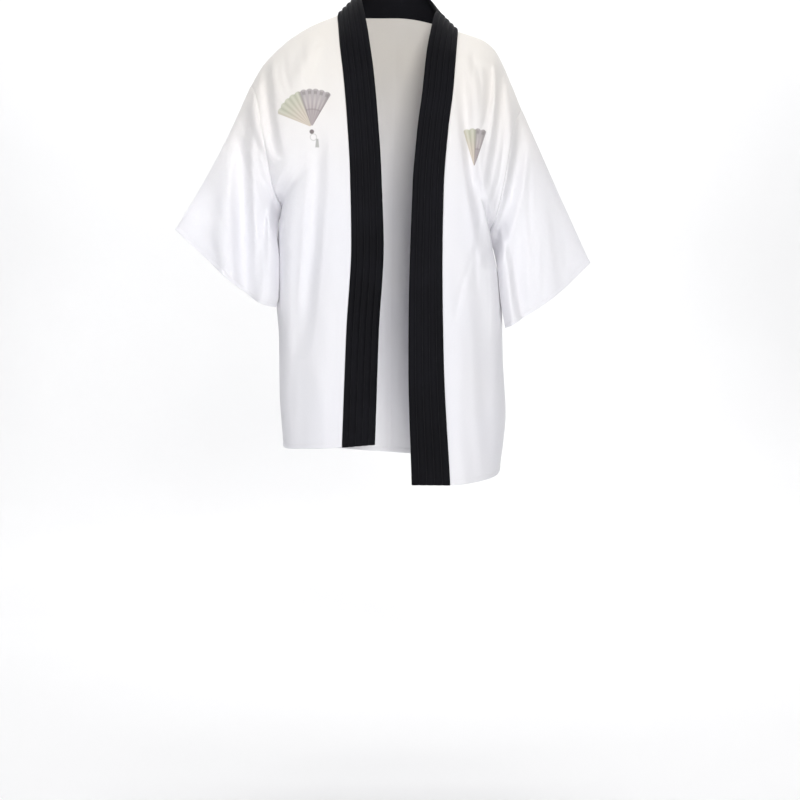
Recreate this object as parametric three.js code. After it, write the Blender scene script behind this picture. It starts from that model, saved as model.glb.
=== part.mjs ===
// A haori jacket, open in front and hollow, in the form that it has when it is put on.
// Millimetres, +Z up. The front faces -Y, and the garment's right side is at -X.
// The origin is where the jacket is held up: the middle of the neck opening, at the height
// where the collar seam crosses the shoulder seams.
import * as THREE from "three";

// Driving sizes of the cloth.
const CLOTH_WALL = 1.6;
const COLLAR_WALL = 2.6;
const SEAM_GAP = 0.3;
const COLLAR_CHANNELS = 5;
const CHANNEL_RISE = 1.3;

// How finely each piece is divided.
const ARMHOLE_ROWS = 13;
const SIDE_ROWS = 16;
const ROWS = ARMHOLE_ROWS + SIDE_ROWS;
const SHOULDER_COLUMNS = 15;
const NECK_COLUMNS = 5;
const SLEEVE_STEPS = 14;
const COLLAR_COLUMNS = 2 * COLLAR_CHANNELS;

// Share of a panel's length, measured down from the shoulder, where the armhole ends.
const ARMPIT = 0.34;
// Share of the half back, measured out from its centre, that the neck opening takes.
const NECK_SHARE = 0.33;

// The seam between the front and the collar, from the shoulder down to the hem.
// at: share of the panel's length. x and z of each side in the front view, and y.
const COLLAR_SEAM = [
  { at: 0.0, rightX: -114, rightZ: 16, leftX: 118, leftZ: -15, y: 8 },
  { at: 0.03, rightX: -114, rightZ: 9, leftX: 117, leftZ: -22, y: -19 },
  { at: 0.06, rightX: -112, rightZ: -7, leftX: 115, leftZ: -38, y: -44 },
  { at: 0.12, rightX: -108, rightZ: -47, leftX: 111, leftZ: -78, y: -80 },
  { at: 0.19, rightX: -101, rightZ: -102, leftX: 106, leftZ: -134, y: -104 },
  { at: 0.28, rightX: -94, rightZ: -180, leftX: 96, leftZ: -212, y: -118 },
  { at: 0.4, rightX: -88, rightZ: -286, leftX: 88, leftZ: -320, y: -124 },
  { at: 0.55, rightX: -86, rightZ: -416, leftX: 86, leftZ: -456, y: -125 },
  { at: 0.75, rightX: -96, rightZ: -590, leftX: 89, leftZ: -642, y: -127 },
  { at: 1.0, rightX: -105, rightZ: -808, leftX: 102, leftZ: -881, y: -130 },
];

// The outer edge of the body: the armhole down to ARMPIT, and the side seam below it.
const SIDE_EDGE = [
  { at: 0.0, rightX: -284, rightZ: -118, leftX: 243, leftZ: -164, frontY: 5, backY: 5 },
  { at: 0.05, rightX: -271, rightZ: -139, leftX: 230, leftZ: -185, frontY: -36, backY: 44 },
  { at: 0.12, rightX: -259, rightZ: -192, leftX: 217, leftZ: -240, frontY: -57, backY: 63 },
  { at: 0.2, rightX: -249, rightZ: -256, leftX: 205, leftZ: -308, frontY: -61, backY: 67 },
  { at: 0.28, rightX: -237, rightZ: -321, leftX: 191, leftZ: -374, frontY: -42, backY: 50 },
  { at: ARMPIT, rightX: -224, rightZ: -362, leftX: 177, leftZ: -418, frontY: 5, backY: 5 },
  { at: 0.36, rightX: -226, rightZ: -377, leftX: 179, leftZ: -431, frontY: 5, backY: 5 },
  { at: 0.42, rightX: -234, rightZ: -421, leftX: 190, leftZ: -469, frontY: 14, backY: 14 },
  { at: 0.5, rightX: -238, rightZ: -480, leftX: 202, leftZ: -520, frontY: 28, backY: 28 },
  { at: 0.6, rightX: -238, rightZ: -546, leftX: 208, leftZ: -585, frontY: 28, backY: 28 },
  { at: 0.7, rightX: -233, rightZ: -612, leftX: 209, leftZ: -650, frontY: 18, backY: 18 },
  { at: 0.85, rightX: -232, rightZ: -715, leftX: 215, leftZ: -760, frontY: 8, backY: 8 },
  { at: 1.0, rightX: -225, rightZ: -825, leftX: 204, leftZ: -869, frontY: 5, backY: 5 },
];

// The shoulder seam, from the neck out to the sleeve.
const SHOULDER_SEAM = [
  { at: 0.0, rightX: -114, rightZ: 16, leftX: 118, leftZ: -15, y: 8 },
  { at: 0.24, rightX: -163, rightZ: -3, leftX: 166, leftZ: -31, y: 9 },
  { at: 0.38, rightX: -190, rightZ: -18, leftX: 189, leftZ: -49, y: 9 },
  { at: 0.52, rightX: -217, rightZ: -37, leftX: 204, leftZ: -74, y: 9 },
  { at: 0.78, rightX: -260, rightZ: -79, leftX: 225, leftZ: -121, y: 7 },
  { at: 1.0, rightX: -284, rightZ: -118, leftX: 243, leftZ: -164, y: 5 },
];

// The middle of the back, from the nape down to the hem.
const CENTRE_BACK = [
  { at: 0.0, x: 0, y: 76, z: 20 },
  { at: 0.06, x: -1, y: 97, z: -28 },
  { at: 0.12, x: -2, y: 112, z: -80 },
  { at: 0.19, x: -4, y: 123, z: -142 },
  { at: 0.28, x: -6, y: 129, z: -222 },
  { at: 0.4, x: -9, y: 128, z: -330 },
  { at: 0.6, x: -12, y: 120, z: -506 },
  { at: 0.8, x: -13, y: 117, z: -680 },
  { at: 1.0, x: -12, y: 121, z: -852 },
];

// Where each row of cloth heads at its two ends, in degrees: 0 runs straight out to the
// side, and 90 runs straight to the back.
const ROW_TURN = [
  { at: 0.0, inner: 0, outer: 0 },
  { at: 0.06, inner: 0, outer: 24 },
  { at: 0.14, inner: 4, outer: 47 },
  { at: 0.24, inner: 7, outer: 68 },
  { at: ARMPIT, inner: 9, outer: 84 },
  { at: 0.46, inner: 9, outer: 90 },
  { at: 1.0, inner: 8, outer: 90 },
];
const ROW_HANDLE = 0.41;
const ROW_DEPTH = 0.86;

// The cuff's edge, from the outer fold of the sleeve round to its underarm seam.
const CUFF = [
  { at: 0.0, rightX: -434, rightZ: -397, leftX: 379, leftZ: -462, frontY: 2, backY: 2 },
  { at: 0.25, rightX: -375, rightZ: -448, leftX: 330, leftZ: -506, frontY: -30, backY: 40 },
  { at: 0.55, rightX: -313, rightZ: -502, leftX: 277, leftZ: -545, frontY: -52, backY: 60 },
  { at: 0.8, rightX: -268, rightZ: -534, leftX: 237, leftZ: -570, frontY: -56, backY: 62 },
  { at: 1.0, rightX: -236, rightZ: -546, leftX: 212, leftZ: -586, frontY: 8, backY: 8 },
];

// The collar strip: the way it leaves its seam (in towards the neck, back, and up) and
// its width. turn swings the strip's free edge back, in degrees, on each side.
const COLLAR_STRIP = [
  { at: 0.0, inward: 0.73, back: -0.12, up: 0.68, width: 57, rightTurn: 0, leftTurn: 0 },
  { at: 0.06, inward: 0.86, back: -0.22, up: 0.46, width: 57, rightTurn: 0, leftTurn: 0 },
  { at: 0.12, inward: 0.95, back: -0.2, up: 0.24, width: 58, rightTurn: 0, leftTurn: 0 },
  { at: 0.2, inward: 0.99, back: -0.12, up: 0.08, width: 58, rightTurn: 0, leftTurn: 0 },
  { at: 0.4, inward: 1.0, back: -0.05, up: 0.0, width: 59, rightTurn: 2, leftTurn: 0 },
  { at: 0.7, inward: 1.0, back: -0.03, up: 0.0, width: 66, rightTurn: 24, leftTurn: 2 },
  { at: 1.0, inward: 1.0, back: -0.02, up: 0.0, width: 74, rightTurn: 34, leftTurn: 4 },
];
const NAPE_STRIP = { back: -0.24, up: 0.97, width: 58 };

// The largest folds: a line on the front or back layer in the front view, bowed sideways in
// its middle, with its half width and how far it rises out of the cloth (less than 0: sinks in).
const FOLDS = [
  // The right sleeve and shoulder, front.
  { layer: "front", fromX: -300, fromZ: -120, toX: -288, toZ: -620, bow: 4, half: 26, rise: -22 },
  { layer: "front", fromX: -338, fromZ: -210, toX: -338, toZ: -560, bow: -6, half: 32, rise: 11 },
  { layer: "front", fromX: -252, fromZ: -70, toX: -226, toZ: -262, bow: 5, half: 17, rise: -14 },
  { layer: "front", fromX: -281, fromZ: -120, toX: -234, toZ: -270, bow: 9, half: 16, rise: 10 },
  { layer: "front", fromX: -266, fromZ: -262, toX: -222, toZ: -400, bow: 3, half: 18, rise: -14 },
  // The right chest and front.
  { layer: "front", fromX: -150, fromZ: -30, toX: -186, toZ: -132, bow: 4, half: 24, rise: 9 },
  { layer: "front", fromX: -146, fromZ: -205, toX: -184, toZ: -640, bow: -6, half: 22, rise: -13 },
  { layer: "front", fromX: -196, fromZ: -330, toX: -214, toZ: -720, bow: 4, half: 20, rise: 7 },
  { layer: "front", fromX: -128, fromZ: -420, toX: -140, toZ: -900, bow: 6, half: 28, rise: 5 },
  // The left shoulder, chest and armhole, front.
  { layer: "front", fromX: 122, fromZ: -104, toX: 178, toZ: -470, bow: 8, half: 18, rise: -15 },
  { layer: "front", fromX: 238, fromZ: -150, toX: 174, toZ: -470, bow: -17, half: 22, rise: -21 },
  { layer: "front", fromX: 172, fromZ: -84, toX: 160, toZ: -236, bow: -8, half: 14, rise: -11 },
  { layer: "front", fromX: 199, fromZ: -84, toX: 170, toZ: -330, bow: -6, half: 14, rise: -12 },
  { layer: "front", fromX: 124, fromZ: -60, toX: 148, toZ: -200, bow: -10, half: 16, rise: 8 },
  { layer: "front", fromX: 213, fromZ: -96, toX: 193, toZ: -390, bow: -13, half: 16, rise: 11 },
  { layer: "front", fromX: 150, fromZ: -430, toX: 168, toZ: -760, bow: -5, half: 26, rise: -7 },
  { layer: "front", fromX: 118, fromZ: -520, toX: 128, toZ: -960, bow: 5, half: 26, rise: 5 },
  // The left sleeve, front.
  { layer: "front", fromX: 232, fromZ: -360, toX: 246, toZ: -640, bow: 4, half: 22, rise: -9 },
  { layer: "front", fromX: 286, fromZ: -300, toX: 304, toZ: -600, bow: -5, half: 32, rise: 6 },
  // The back: soft lengths below the shoulders, and creases that run in from the armholes.
  { layer: "back", fromX: -238, fromZ: -150, toX: -168, toZ: -420, bow: 14, half: 26, rise: -6 },
  { layer: "back", fromX: 214, fromZ: -190, toX: 140, toZ: -450, bow: -12, half: 26, rise: -6 },
  { layer: "back", fromX: -120, fromZ: -60, toX: -104, toZ: -330, bow: 6, half: 30, rise: 6 },
  { layer: "back", fromX: -60, fromZ: -250, toX: -74, toZ: -700, bow: -6, half: 34, rise: -8 },
  { layer: "back", fromX: 40, fromZ: -330, toX: 54, toZ: -900, bow: 8, half: 40, rise: 7 },
  { layer: "back", fromX: 104, fromZ: -420, toX: 122, toZ: -930, bow: -7, half: 30, rise: -8 },
  { layer: "back", fromX: -148, fromZ: -470, toX: -156, toZ: -900, bow: 7, half: 32, rise: 7 },
  { layer: "back", fromX: -300, fromZ: -150, toX: -284, toZ: -620, bow: -6, half: 30, rise: -13 },
  { layer: "back", fromX: -346, fromZ: -240, toX: -344, toZ: -560, bow: 6, half: 30, rise: 7 },
  { layer: "back", fromX: 262, fromZ: -220, toX: 254, toZ: -640, bow: 6, half: 28, rise: -12 },
  { layer: "back", fromX: 308, fromZ: -320, toX: 322, toZ: -600, bow: -5, half: 30, rise: 6 },
];
// Folds fade out near the side, where the front turns into the back: none within the first
// of these distances from it, and all of a fold beyond the second.
const SIDE_Y = 5;
const FOLD_EDGE = [7, 44];

const SIDES = [
  { name: "right", sign: -1 },
  { name: "left", sign: 1 },
];

// A smooth curve through one column of a table, read at a place between its rows. It never
// runs past the rows it lies between.
function read(table, column, at) {
  const last = table.length - 1;
  let i = 0;
  while (i < last - 1 && at > table[i + 1].at) i++;
  const rise = (k) => (table[k + 1][column] - table[k][column]) / (table[k + 1].at - table[k].at);
  const slope = (k) => {
    if (k === 0) return rise(0);
    if (k === last) return rise(last - 1);
    const [before, after] = [rise(k - 1), rise(k)];
    return before * after > 0 ? (2 * before * after) / (before + after) : 0;
  };
  const p = table[i];
  const q = table[i + 1];
  const span = q.at - p.at;
  const t = THREE.MathUtils.clamp((at - p.at) / span, 0, 1);
  const [t2, t3] = [t * t, t * t * t];
  return (
    (2 * t3 - 3 * t2 + 1) * p[column] +
    (t3 - 2 * t2 + t) * span * slope(i) +
    (3 * t2 - 2 * t3) * q[column] +
    (t3 - t2) * span * slope(i + 1)
  );
}

function readPoint(table, side, at, depth = "y") {
  return new THREE.Vector3(
    read(table, side.name + "X", at),
    read(table, depth, at),
    read(table, side.name + "Z", at),
  );
}

const mix = THREE.MathUtils.lerp;
const smooth = THREE.MathUtils.smoothstep;

// A row of cloth between its inner and outer ends, as a cubic curve that leaves each end
// the way ROW_TURN says. wayBack is -1 on the front, where a row wraps from -Y to the side.
function rowPoint(inner, outer, at, a, wayBack) {
  const out = Math.sign(outer.x - inner.x);
  const reach = ROW_HANDLE * inner.distanceTo(outer);
  const outerTurn = THREE.MathUtils.degToRad(read(ROW_TURN, "outer", at));
  const deepest = (ROW_DEPTH * Math.abs(outer.y - inner.y)) / Math.max(0.01, Math.sin(outerTurn));
  const outerReach = mix(reach, Math.min(reach, deepest), smooth(at, 0.08, 0.3));
  const heading = (column) => {
    const turn = THREE.MathUtils.degToRad(read(ROW_TURN, column, at));
    return new THREE.Vector3(out * Math.cos(turn), wayBack * Math.sin(turn), 0);
  };
  const fall = (outer.z - inner.z) / 3;
  const first = inner.clone().addScaledVector(heading("inner"), reach);
  const second = outer.clone().addScaledVector(heading("outer"), -outerReach);
  first.z = inner.z + fall;
  second.z = outer.z - fall;
  return new THREE.CubicBezierCurve3(inner, first, second, outer).getPoint(a);
}

// How much of the top edge's own form a row keeps, as it goes down from the shoulder.
const TOP_REACH = 0.2;
const topShare = (at) => 1 - smooth(at, 0, TOP_REACH);

function frontPoint(side, a, at) {
  const row = (level) =>
    rowPoint(
      readPoint(COLLAR_SEAM, side, level),
      readPoint(SIDE_EDGE, side, level, "frontY"),
      level,
      a,
      1,
    );
  const lift = readPoint(SHOULDER_SEAM, side, a).sub(row(0));
  return row(at).addScaledVector(lift, topShare(at));
}

// The neck's edge of the back, from the shoulder seam (0) round to the nape (1).
function neckPoint(side, b) {
  const shoulder = readPoint(COLLAR_SEAM, side, 0);
  const nape = CENTRE_BACK[0];
  const round = (b * Math.PI) / 2;
  return new THREE.Vector3(
    mix(nape.x, shoulder.x, Math.cos(round)),
    mix(shoulder.y, nape.y, Math.sin(round)),
    mix(shoulder.z, nape.z, smooth(b, 0, 1)),
  );
}

function backPoint(side, a, at) {
  const row = (level) =>
    rowPoint(
      new THREE.Vector3(...["x", "y", "z"].map((c) => read(CENTRE_BACK, c, level))),
      readPoint(SIDE_EDGE, side, level, "backY"),
      level,
      a,
      -1,
    );
  const top =
    a < NECK_SHARE
      ? neckPoint(side, 1 - a / NECK_SHARE)
      : readPoint(SHOULDER_SEAM, side, (a - NECK_SHARE) / (1 - NECK_SHARE));
  return row(at).addScaledVector(top.sub(row(0)), topShare(at));
}

// The sleeve, from the armhole (w 0) to the cuff (w 1). q is 0 at the outer fold and 1 at
// the underarm seam, on the front or the back layer.
const UNDERARM_EASE = { right: 7, left: 14 };
const UNDERARM_SWING = 46;
const FOLD_SAG = { right: 8, left: 1 };

function sleevePoint(side, layer, q, w) {
  const start = readPoint(SIDE_EDGE, side, q * ARMPIT, layer + "Y");
  const end = readPoint(CUFF, side, q, layer + "Y");
  const p = start.lerp(end, w);
  // Below the armpit the sleeve keeps clear of the body, and then hangs in front of its side.
  const ease = UNDERARM_EASE[side.name] * smooth(w, 0, 0.1) * (1 - smooth(w, 0.15, 0.8));
  p.x += side.sign * ease * smooth(q, 0.6, 1);
  p.y -= UNDERARM_SWING * smooth(q, 0.72, 1) * smooth(w, 0, 0.35);
  p.x -= side.sign * FOLD_SAG[side.name] * Math.sin(Math.PI * w) * (1 - smooth(q, 0, 0.3));
  return p;
}

// Moves a point of the cloth by the folds that cross it. A place shared by two pieces moves
// alike in both, so that their seam stays shut.
function fold(p) {
  const [fromSide, layer] = p.y < SIDE_Y ? [SIDE_Y - p.y, "front"] : [p.y - SIDE_Y, "back"];
  let rise = 0;
  for (const f of FOLDS) {
    if (f.layer !== layer) continue;
    const along = new THREE.Vector2(f.toX - f.fromX, f.toZ - f.fromZ);
    const length = along.length();
    along.divideScalar(length);
    const [dx, dz] = [p.x - f.fromX, p.z - f.fromZ];
    const t = (dx * along.x + dz * along.y) / length;
    if (t <= 0 || t >= 1) continue;
    const aside = (dx * along.y - dz * along.x - 4 * f.bow * t * (1 - t)) / f.half;
    if (Math.abs(aside) < 1) rise += f.rise * (1 - aside ** 2) ** 2 * Math.sin(Math.PI * t) ** 0.6;
  }
  const out = layer === "front" ? -1 : 1;
  return new THREE.Vector3(p.x, p.y + out * rise * smooth(fromSide, ...FOLD_EDGE), p.z);
}

const rowAt = (i) =>
  i <= ARMHOLE_ROWS
    ? (ARMPIT * i) / ARMHOLE_ROWS
    : mix(ARMPIT, 1, (i - ARMHOLE_ROWS) / SIDE_ROWS);

const steps = (n) => Array.from({ length: n + 1 }, (_, k) => k);

// A grid of points, row by row.
const grid = (rows, columns, point) => rows.map((r) => columns.map((c) => point(r, c)));

function frontGrid(side) {
  return grid(steps(ROWS), steps(SHOULDER_COLUMNS), (i, j) =>
    fold(frontPoint(side, j / SHOULDER_COLUMNS, rowAt(i))),
  );
}

function backShare(j) {
  return j <= NECK_COLUMNS
    ? (NECK_SHARE * j) / NECK_COLUMNS
    : mix(NECK_SHARE, 1, (j - NECK_COLUMNS) / SHOULDER_COLUMNS);
}

function backGrid() {
  const half = NECK_COLUMNS + SHOULDER_COLUMNS;
  return grid(steps(ROWS), steps(2 * half), (i, j) => {
    const side = SIDES[j < half ? 0 : 1];
    return fold(backPoint(side, backShare(Math.abs(j - half)), rowAt(i)));
  });
}

// Rows run from the armhole to the cuff, and columns once round the arm.
function sleeveGrid(side) {
  return grid(steps(SLEEVE_STEPS), steps(2 * ARMHOLE_ROWS - 1), (i, j) => {
    const front = j <= ARMHOLE_ROWS;
    const q = (front ? j : 2 * ARMHOLE_ROWS - j) / ARMHOLE_ROWS;
    return fold(sleevePoint(side, front ? "front" : "back", q, i / SLEEVE_STEPS));
  });
}

// The collar's stations, from the right hem up round the nape and down to the left hem.
function collarStations() {
  const [right, left] = SIDES;
  const front = (side, i) => ({ side, at: rowAt(i), round: 0 });
  const neck = (side, k) => ({ side, at: 0, round: k / NECK_COLUMNS });
  return [
    ...steps(ROWS).map((i) => front(right, ROWS - i)),
    ...steps(NECK_COLUMNS).slice(1).map((k) => neck(right, k)),
    ...steps(NECK_COLUMNS).slice(1).map((k) => neck(left, NECK_COLUMNS - k)),
    ...steps(ROWS).slice(1).map((i) => front(left, i)),
  ];
}

function collarPoint({ side, at, round }, c) {
  const strip = (column) => read(COLLAR_STRIP, column, at);
  const nape = smooth(round, 0, 1);
  const turn = THREE.MathUtils.degToRad(strip(side.name + "Turn"));
  const inward = strip("inward") * (1 - nape);
  const way = new THREE.Vector3(
    -side.sign * inward * Math.cos(turn),
    mix(strip("back") + inward * Math.sin(turn), NAPE_STRIP.back, nape),
    mix(strip("up"), NAPE_STRIP.up, nape),
  ).normalize();
  const seam = round > 0 ? neckPoint(side, round) : readPoint(COLLAR_SEAM, side, at);
  return fold(seam).addScaledVector(way, c * mix(strip("width"), NAPE_STRIP.width, nape));
}

function collarGrid() {
  return grid(collarStations(), steps(COLLAR_COLUMNS), (station, j) =>
    collarPoint(station, j / COLLAR_COLUMNS),
  );
}

// Unit normals of a grid, from its neighbours. facing is 1 or -1.
function gridNormals(points, facing, closed) {
  const rows = points.length;
  const columns = points[0].length;
  const wrap = (j) => (closed ? (j + columns) % columns : THREE.MathUtils.clamp(j, 0, columns - 1));
  const clampRow = (i) => THREE.MathUtils.clamp(i, 0, rows - 1);
  return points.map((row, i) =>
    row.map((_, j) => {
      const down = points[clampRow(i + 1)][j].clone().sub(points[clampRow(i - 1)][j]);
      const across = points[i][wrap(j + 1)].clone().sub(points[i][wrap(j - 1)]);
      return across.cross(down).normalize().multiplyScalar(facing);
    }),
  );
}

// A piece of cloth: its middle surface as a grid, and the way its wall is offset.
function cloth(name, points, facing, form = {}) {
  const { closed = false, wall = CLOTH_WALL, ribs = null, through = false } = form;
  const normals = gridNormals(points, facing, closed);
  return { name, points, normals, closed, wall, ribs, through };
}

// Where pieces meet, their edges share one mitre, and each is drawn back by half the gap.
const MITRE_LEAST = 0.38;
const SAME_PLACE = 0.1;

// The lengths of edge on either side of a point on a piece's edge, each with the way into
// the cloth from it. There are none at an inner point.
function edgesAt({ points, closed }, i, j) {
  const [rows, columns] = [points.length, points[0].length];
  const at = (r, c) => points[r]?.[closed ? (c + columns) % columns : c];
  const here = points[i][j];
  const inRow = i === 0 ? 1 : i === rows - 1 ? -1 : 0;
  const inColumn = closed ? 0 : j === 0 ? 1 : j === columns - 1 ? -1 : 0;
  const found = [];
  for (const k of [-1, 1]) {
    if (inRow && at(i, j + k)) found.push([at(i, j + k), at(i + inRow, j)]);
    if (inColumn && at(i + k, j)) found.push([at(i + k, j), at(i, j + inColumn)]);
  }
  return found.map(([next, inner]) => {
    const along = next.clone().sub(here).normalize();
    const inward = inner.clone().sub(here);
    return inward.addScaledVector(along, -inward.dot(along)).normalize();
  });
}

function joinSeams(pieces) {
  const meetings = [];
  for (const piece of pieces)
    piece.points.forEach((row, i) =>
      row.forEach((p, j) => {
        const ways = edgesAt(piece, i, j);
        if (!ways.length) return;
        const end = { p, at: p.clone(), normal: piece.normals[i][j], ways, through: piece.through };
        const meeting = meetings.find(([first]) => first.at.distanceTo(p) < SAME_PLACE);
        if (meeting) meeting.push(end);
        else meetings.push([end]);
      }),
    );
  for (const ends of meetings) {
    // At a corner of three pieces, the one whose edge runs on through it counts as two.
    const share = ({ through }) => (ends.length > 2 && through ? 2 : 1);
    const shared = new THREE.Vector3();
    for (const end of ends) shared.addScaledVector(end.normal, share(end));
    shared.normalize();
    const agree = ends.reduce((sum, { normal }) => sum + normal.dot(shared), 0) / ends.length;
    const stretch = 1 / Math.max(MITRE_LEAST, agree);
    for (const { p, normal, ways } of ends) {
      const [a, b] = ways;
      normal.copy(shared).multiplyScalar(stretch);
      p.addScaledVector(a.clone().add(b), ((SEAM_GAP / 2) * stretch) / (1 + a.dot(b)));
    }
  }
}

// A closed wall round a piece's middle surface. With ribs, the outer face is raised by
// ribs(j), and the inner face is plain, with points at the two edges only.
function wallGeometry({ points, normals, closed, wall, ribs }) {
  const rows = points.length;
  const columns = points[0].length;
  const vertices = [];
  const triangles = [];
  const place = (i, j, offset) => {
    const v = points[i][j].clone().addScaledVector(normals[i][j], offset);
    return vertices.push(v.x, v.y, v.z) / 3 - 1;
  };
  const outer = grid(steps(rows - 1), steps(columns - 1), (i, j) =>
    place(i, j, wall / 2 + (ribs ? ribs(j) : 0)),
  );
  const innerColumns = ribs ? [0, columns - 1] : steps(columns - 1);
  const inner = grid(steps(rows - 1), innerColumns, (i, j) => place(i, j, -wall / 2));
  const quad = ([a, b, c, d], flip) =>
    triangles.push(...(flip ? [a, d, c, a, c, b] : [a, b, c, a, c, d]));
  const sheet = (face, flip) => {
    const width = face[0].length;
    for (let i = 0; i + 1 < rows; i++)
      for (let j = 0; j + 1 < width + (closed ? 1 : 0); j++) {
        const k = (j + 1) % width;
        quad([face[i][j], face[i][k], face[i + 1][k], face[i + 1][j]], flip);
      }
  };
  sheet(outer, false);
  sheet(inner, true);
  const fan = (top, bottom, flip) => {
    const ring = [...top, ...bottom.slice().reverse()];
    for (let k = 1; k + 1 < ring.length; k++) {
      const face = [ring[ring.length - 1], ring[k - 1], ring[k]];
      triangles.push(...(flip ? face.reverse() : face));
    }
  };
  // Each quad is split from its higher end, so that the faces on both sides of a seam match.
  const height = (v) => 0.3 * vertices[3 * v] + vertices[3 * v + 1] + 0.7 * vertices[3 * v + 2];
  const strip = (top, bottom, flip) => {
    for (let k = 0; k + 1 < top.length; k++) {
      const corners = [top[k], bottom[k], bottom[k + 1], top[k + 1]];
      if (height(top[k]) < height(top[k + 1])) corners.push(corners.shift());
      quad(corners, flip);
    }
  };
  const ends = [0, rows - 1];
  for (const i of ends) {
    const flip = i !== 0;
    if (ribs) fan(outer[i], inner[i], !flip);
    else {
      const loop = (face) => (closed ? [...face[i], face[i][0]] : face[i]);
      strip(loop(outer), loop(inner), flip);
    }
  }
  if (!closed)
    for (const last of [false, true]) {
      const edge = (face) => face.map((row) => row[last ? row.length - 1 : 0]);
      strip(edge(outer), edge(inner), !last);
    }
  return closedGeometry(vertices, triangles);
}

// Faces point out when the solid's signed volume is positive.
function closedGeometry(vertices, triangles) {
  const corner = (k) => new THREE.Vector3().fromArray(vertices, 3 * triangles[k]);
  let volume = 0;
  for (let k = 0; k < triangles.length; k += 3)
    volume += corner(k).dot(corner(k + 1).cross(corner(k + 2)));
  if (volume < 0) triangles.reverse();
  const geometry = new THREE.BufferGeometry();
  geometry.setAttribute("position", new THREE.Float32BufferAttribute(vertices, 3));
  geometry.setIndex(triangles);
  geometry.computeVertexNormals();
  return geometry;
}

const WHITE_CLOTH = new THREE.MeshStandardMaterial({ color: 0xf1f0f2, roughness: 0.85, metalness: 0 });
const BLACK_CLOTH = new THREE.MeshStandardMaterial({ color: 0x1a1a1c, roughness: 0.8, metalness: 0 });

const channelRise = (j) => (j % 2 ? CHANNEL_RISE : 0);

const [right, left] = SIDES;
const pieces = [
  cloth("front_right", frontGrid(right), 1),
  cloth("front_left", frontGrid(left), -1),
  cloth("back", backGrid(), 1),
  cloth("sleeve_right", sleeveGrid(right), -1, { closed: true, through: true }),
  cloth("sleeve_left", sleeveGrid(left), 1, { closed: true, through: true }),
  cloth("collar", collarGrid(), 1, { wall: COLLAR_WALL, ribs: channelRise, through: true }),
];
joinSeams(pieces);

const haori = new THREE.Group();
for (const piece of pieces) {
  const mesh = new THREE.Mesh(wallGeometry(piece), piece.ribs ? BLACK_CLOTH : WHITE_CLOTH);
  mesh.name = piece.name;
  haori.add(mesh);
}

export default haori;
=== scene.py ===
"""A haori jacket, open in front and hollow, in the form that it has when it is put on.

Tables and sizes are in millimetres and turned to metres when a mesh is made. +Z is up, the
front faces -Y, and the garment's right side is at -X. Each piece of cloth is a thin closed
shell on a grid of points that follows the solid it replaces, with finer folds, seams, hems
and stitches.
"""
import math

import bpy
import numpy as np
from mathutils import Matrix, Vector
from mathutils.kdtree import KDTree


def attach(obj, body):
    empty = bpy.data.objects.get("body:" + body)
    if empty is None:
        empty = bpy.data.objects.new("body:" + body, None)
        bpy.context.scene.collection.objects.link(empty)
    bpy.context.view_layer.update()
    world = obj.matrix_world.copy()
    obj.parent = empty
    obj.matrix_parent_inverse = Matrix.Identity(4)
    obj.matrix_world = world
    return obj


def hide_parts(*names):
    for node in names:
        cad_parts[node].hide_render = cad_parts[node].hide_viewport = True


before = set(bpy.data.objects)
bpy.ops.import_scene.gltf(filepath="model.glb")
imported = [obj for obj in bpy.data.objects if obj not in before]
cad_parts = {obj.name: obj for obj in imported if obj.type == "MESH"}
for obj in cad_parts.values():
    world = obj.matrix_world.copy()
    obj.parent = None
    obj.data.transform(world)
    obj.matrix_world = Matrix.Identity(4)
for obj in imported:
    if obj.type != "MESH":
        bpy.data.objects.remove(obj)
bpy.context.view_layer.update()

MM = 0.001
rng = np.random.default_rng(7)

# The walls, and the collar's stitched channels. A channel's section is a half wave raised to
# the power CHANNEL_BOW, which makes it fuller.
CLOTH_WALL = 1.3
COLLAR_WALL = 2.4
COLLAR_CHANNELS = 5
CHANNEL_RISE = 2.5
CHANNEL_BOW = 0.65

# The turned hem: its faces rise where the cloth is doubled, which ends between the two
# distances of HEM_END. It is sewn down along HEM_SEWN, and its edge is rounded.
HEM_WIDTH = 9.0
HEM_END = (HEM_WIDTH - 0.6, HEM_WIDTH + 0.8)
HEM_RISE = 0.6
HEM_RISE_INSIDE = 0.7
HEM_SEWN = HEM_WIDTH - 0.8
HEM_SEWN_HALF = 0.9
HEM_SEWN_DIP = 0.9
HEM_ROUND = 0.35
HEM_ROUND_REACH = 1.8

# How deep the outer face sinks at a seam, and how far from the seam that starts.
SEAM_DIP = 0.9
SEAM_REACH = 5.0

STITCH_LENGTH = 2.7
STITCH_PITCH = 4.4
STITCH_RADIUS = 0.3

# Edges closer than SAME_PLACE are one seam. Where they meet at an angle they share an offset
# that is longer than their own, by 1 / MITRE_LEAST at most.
SAME_PLACE = 0.05
MITRE_LEAST = 0.45


def columns(names, rows):
    """A table as one array for each named column."""
    return dict(zip(names.split(), np.array(rows, dtype=float).T))


def rows_of(table):
    """The rows of such a table, each with its values by name."""
    return [dict(zip(table, values)) for values in zip(*table.values())]


# Share of a panel's length, measured down from the shoulder, where the armhole ends.
ARMPIT = 0.34
# Share of the half back, measured out from its centre, that the neck opening takes.
NECK_SHARE = 0.33

# The seam between the front and the collar, from the shoulder down to the hem.
COLLAR_SEAM = columns("at rightX rightZ leftX leftZ y", [
    (0.0, -114, 16, 118, -15, 8),
    (0.03, -114, 9, 117, -22, -19),
    (0.06, -112, -7, 115, -38, -44),
    (0.12, -108, -47, 111, -78, -80),
    (0.19, -101, -102, 106, -134, -104),
    (0.28, -94, -180, 96, -212, -118),
    (0.4, -88, -286, 88, -320, -124),
    (0.55, -86, -416, 86, -456, -125),
    (0.75, -96, -590, 89, -642, -127),
    (1.0, -105, -808, 102, -881, -130),
])

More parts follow.
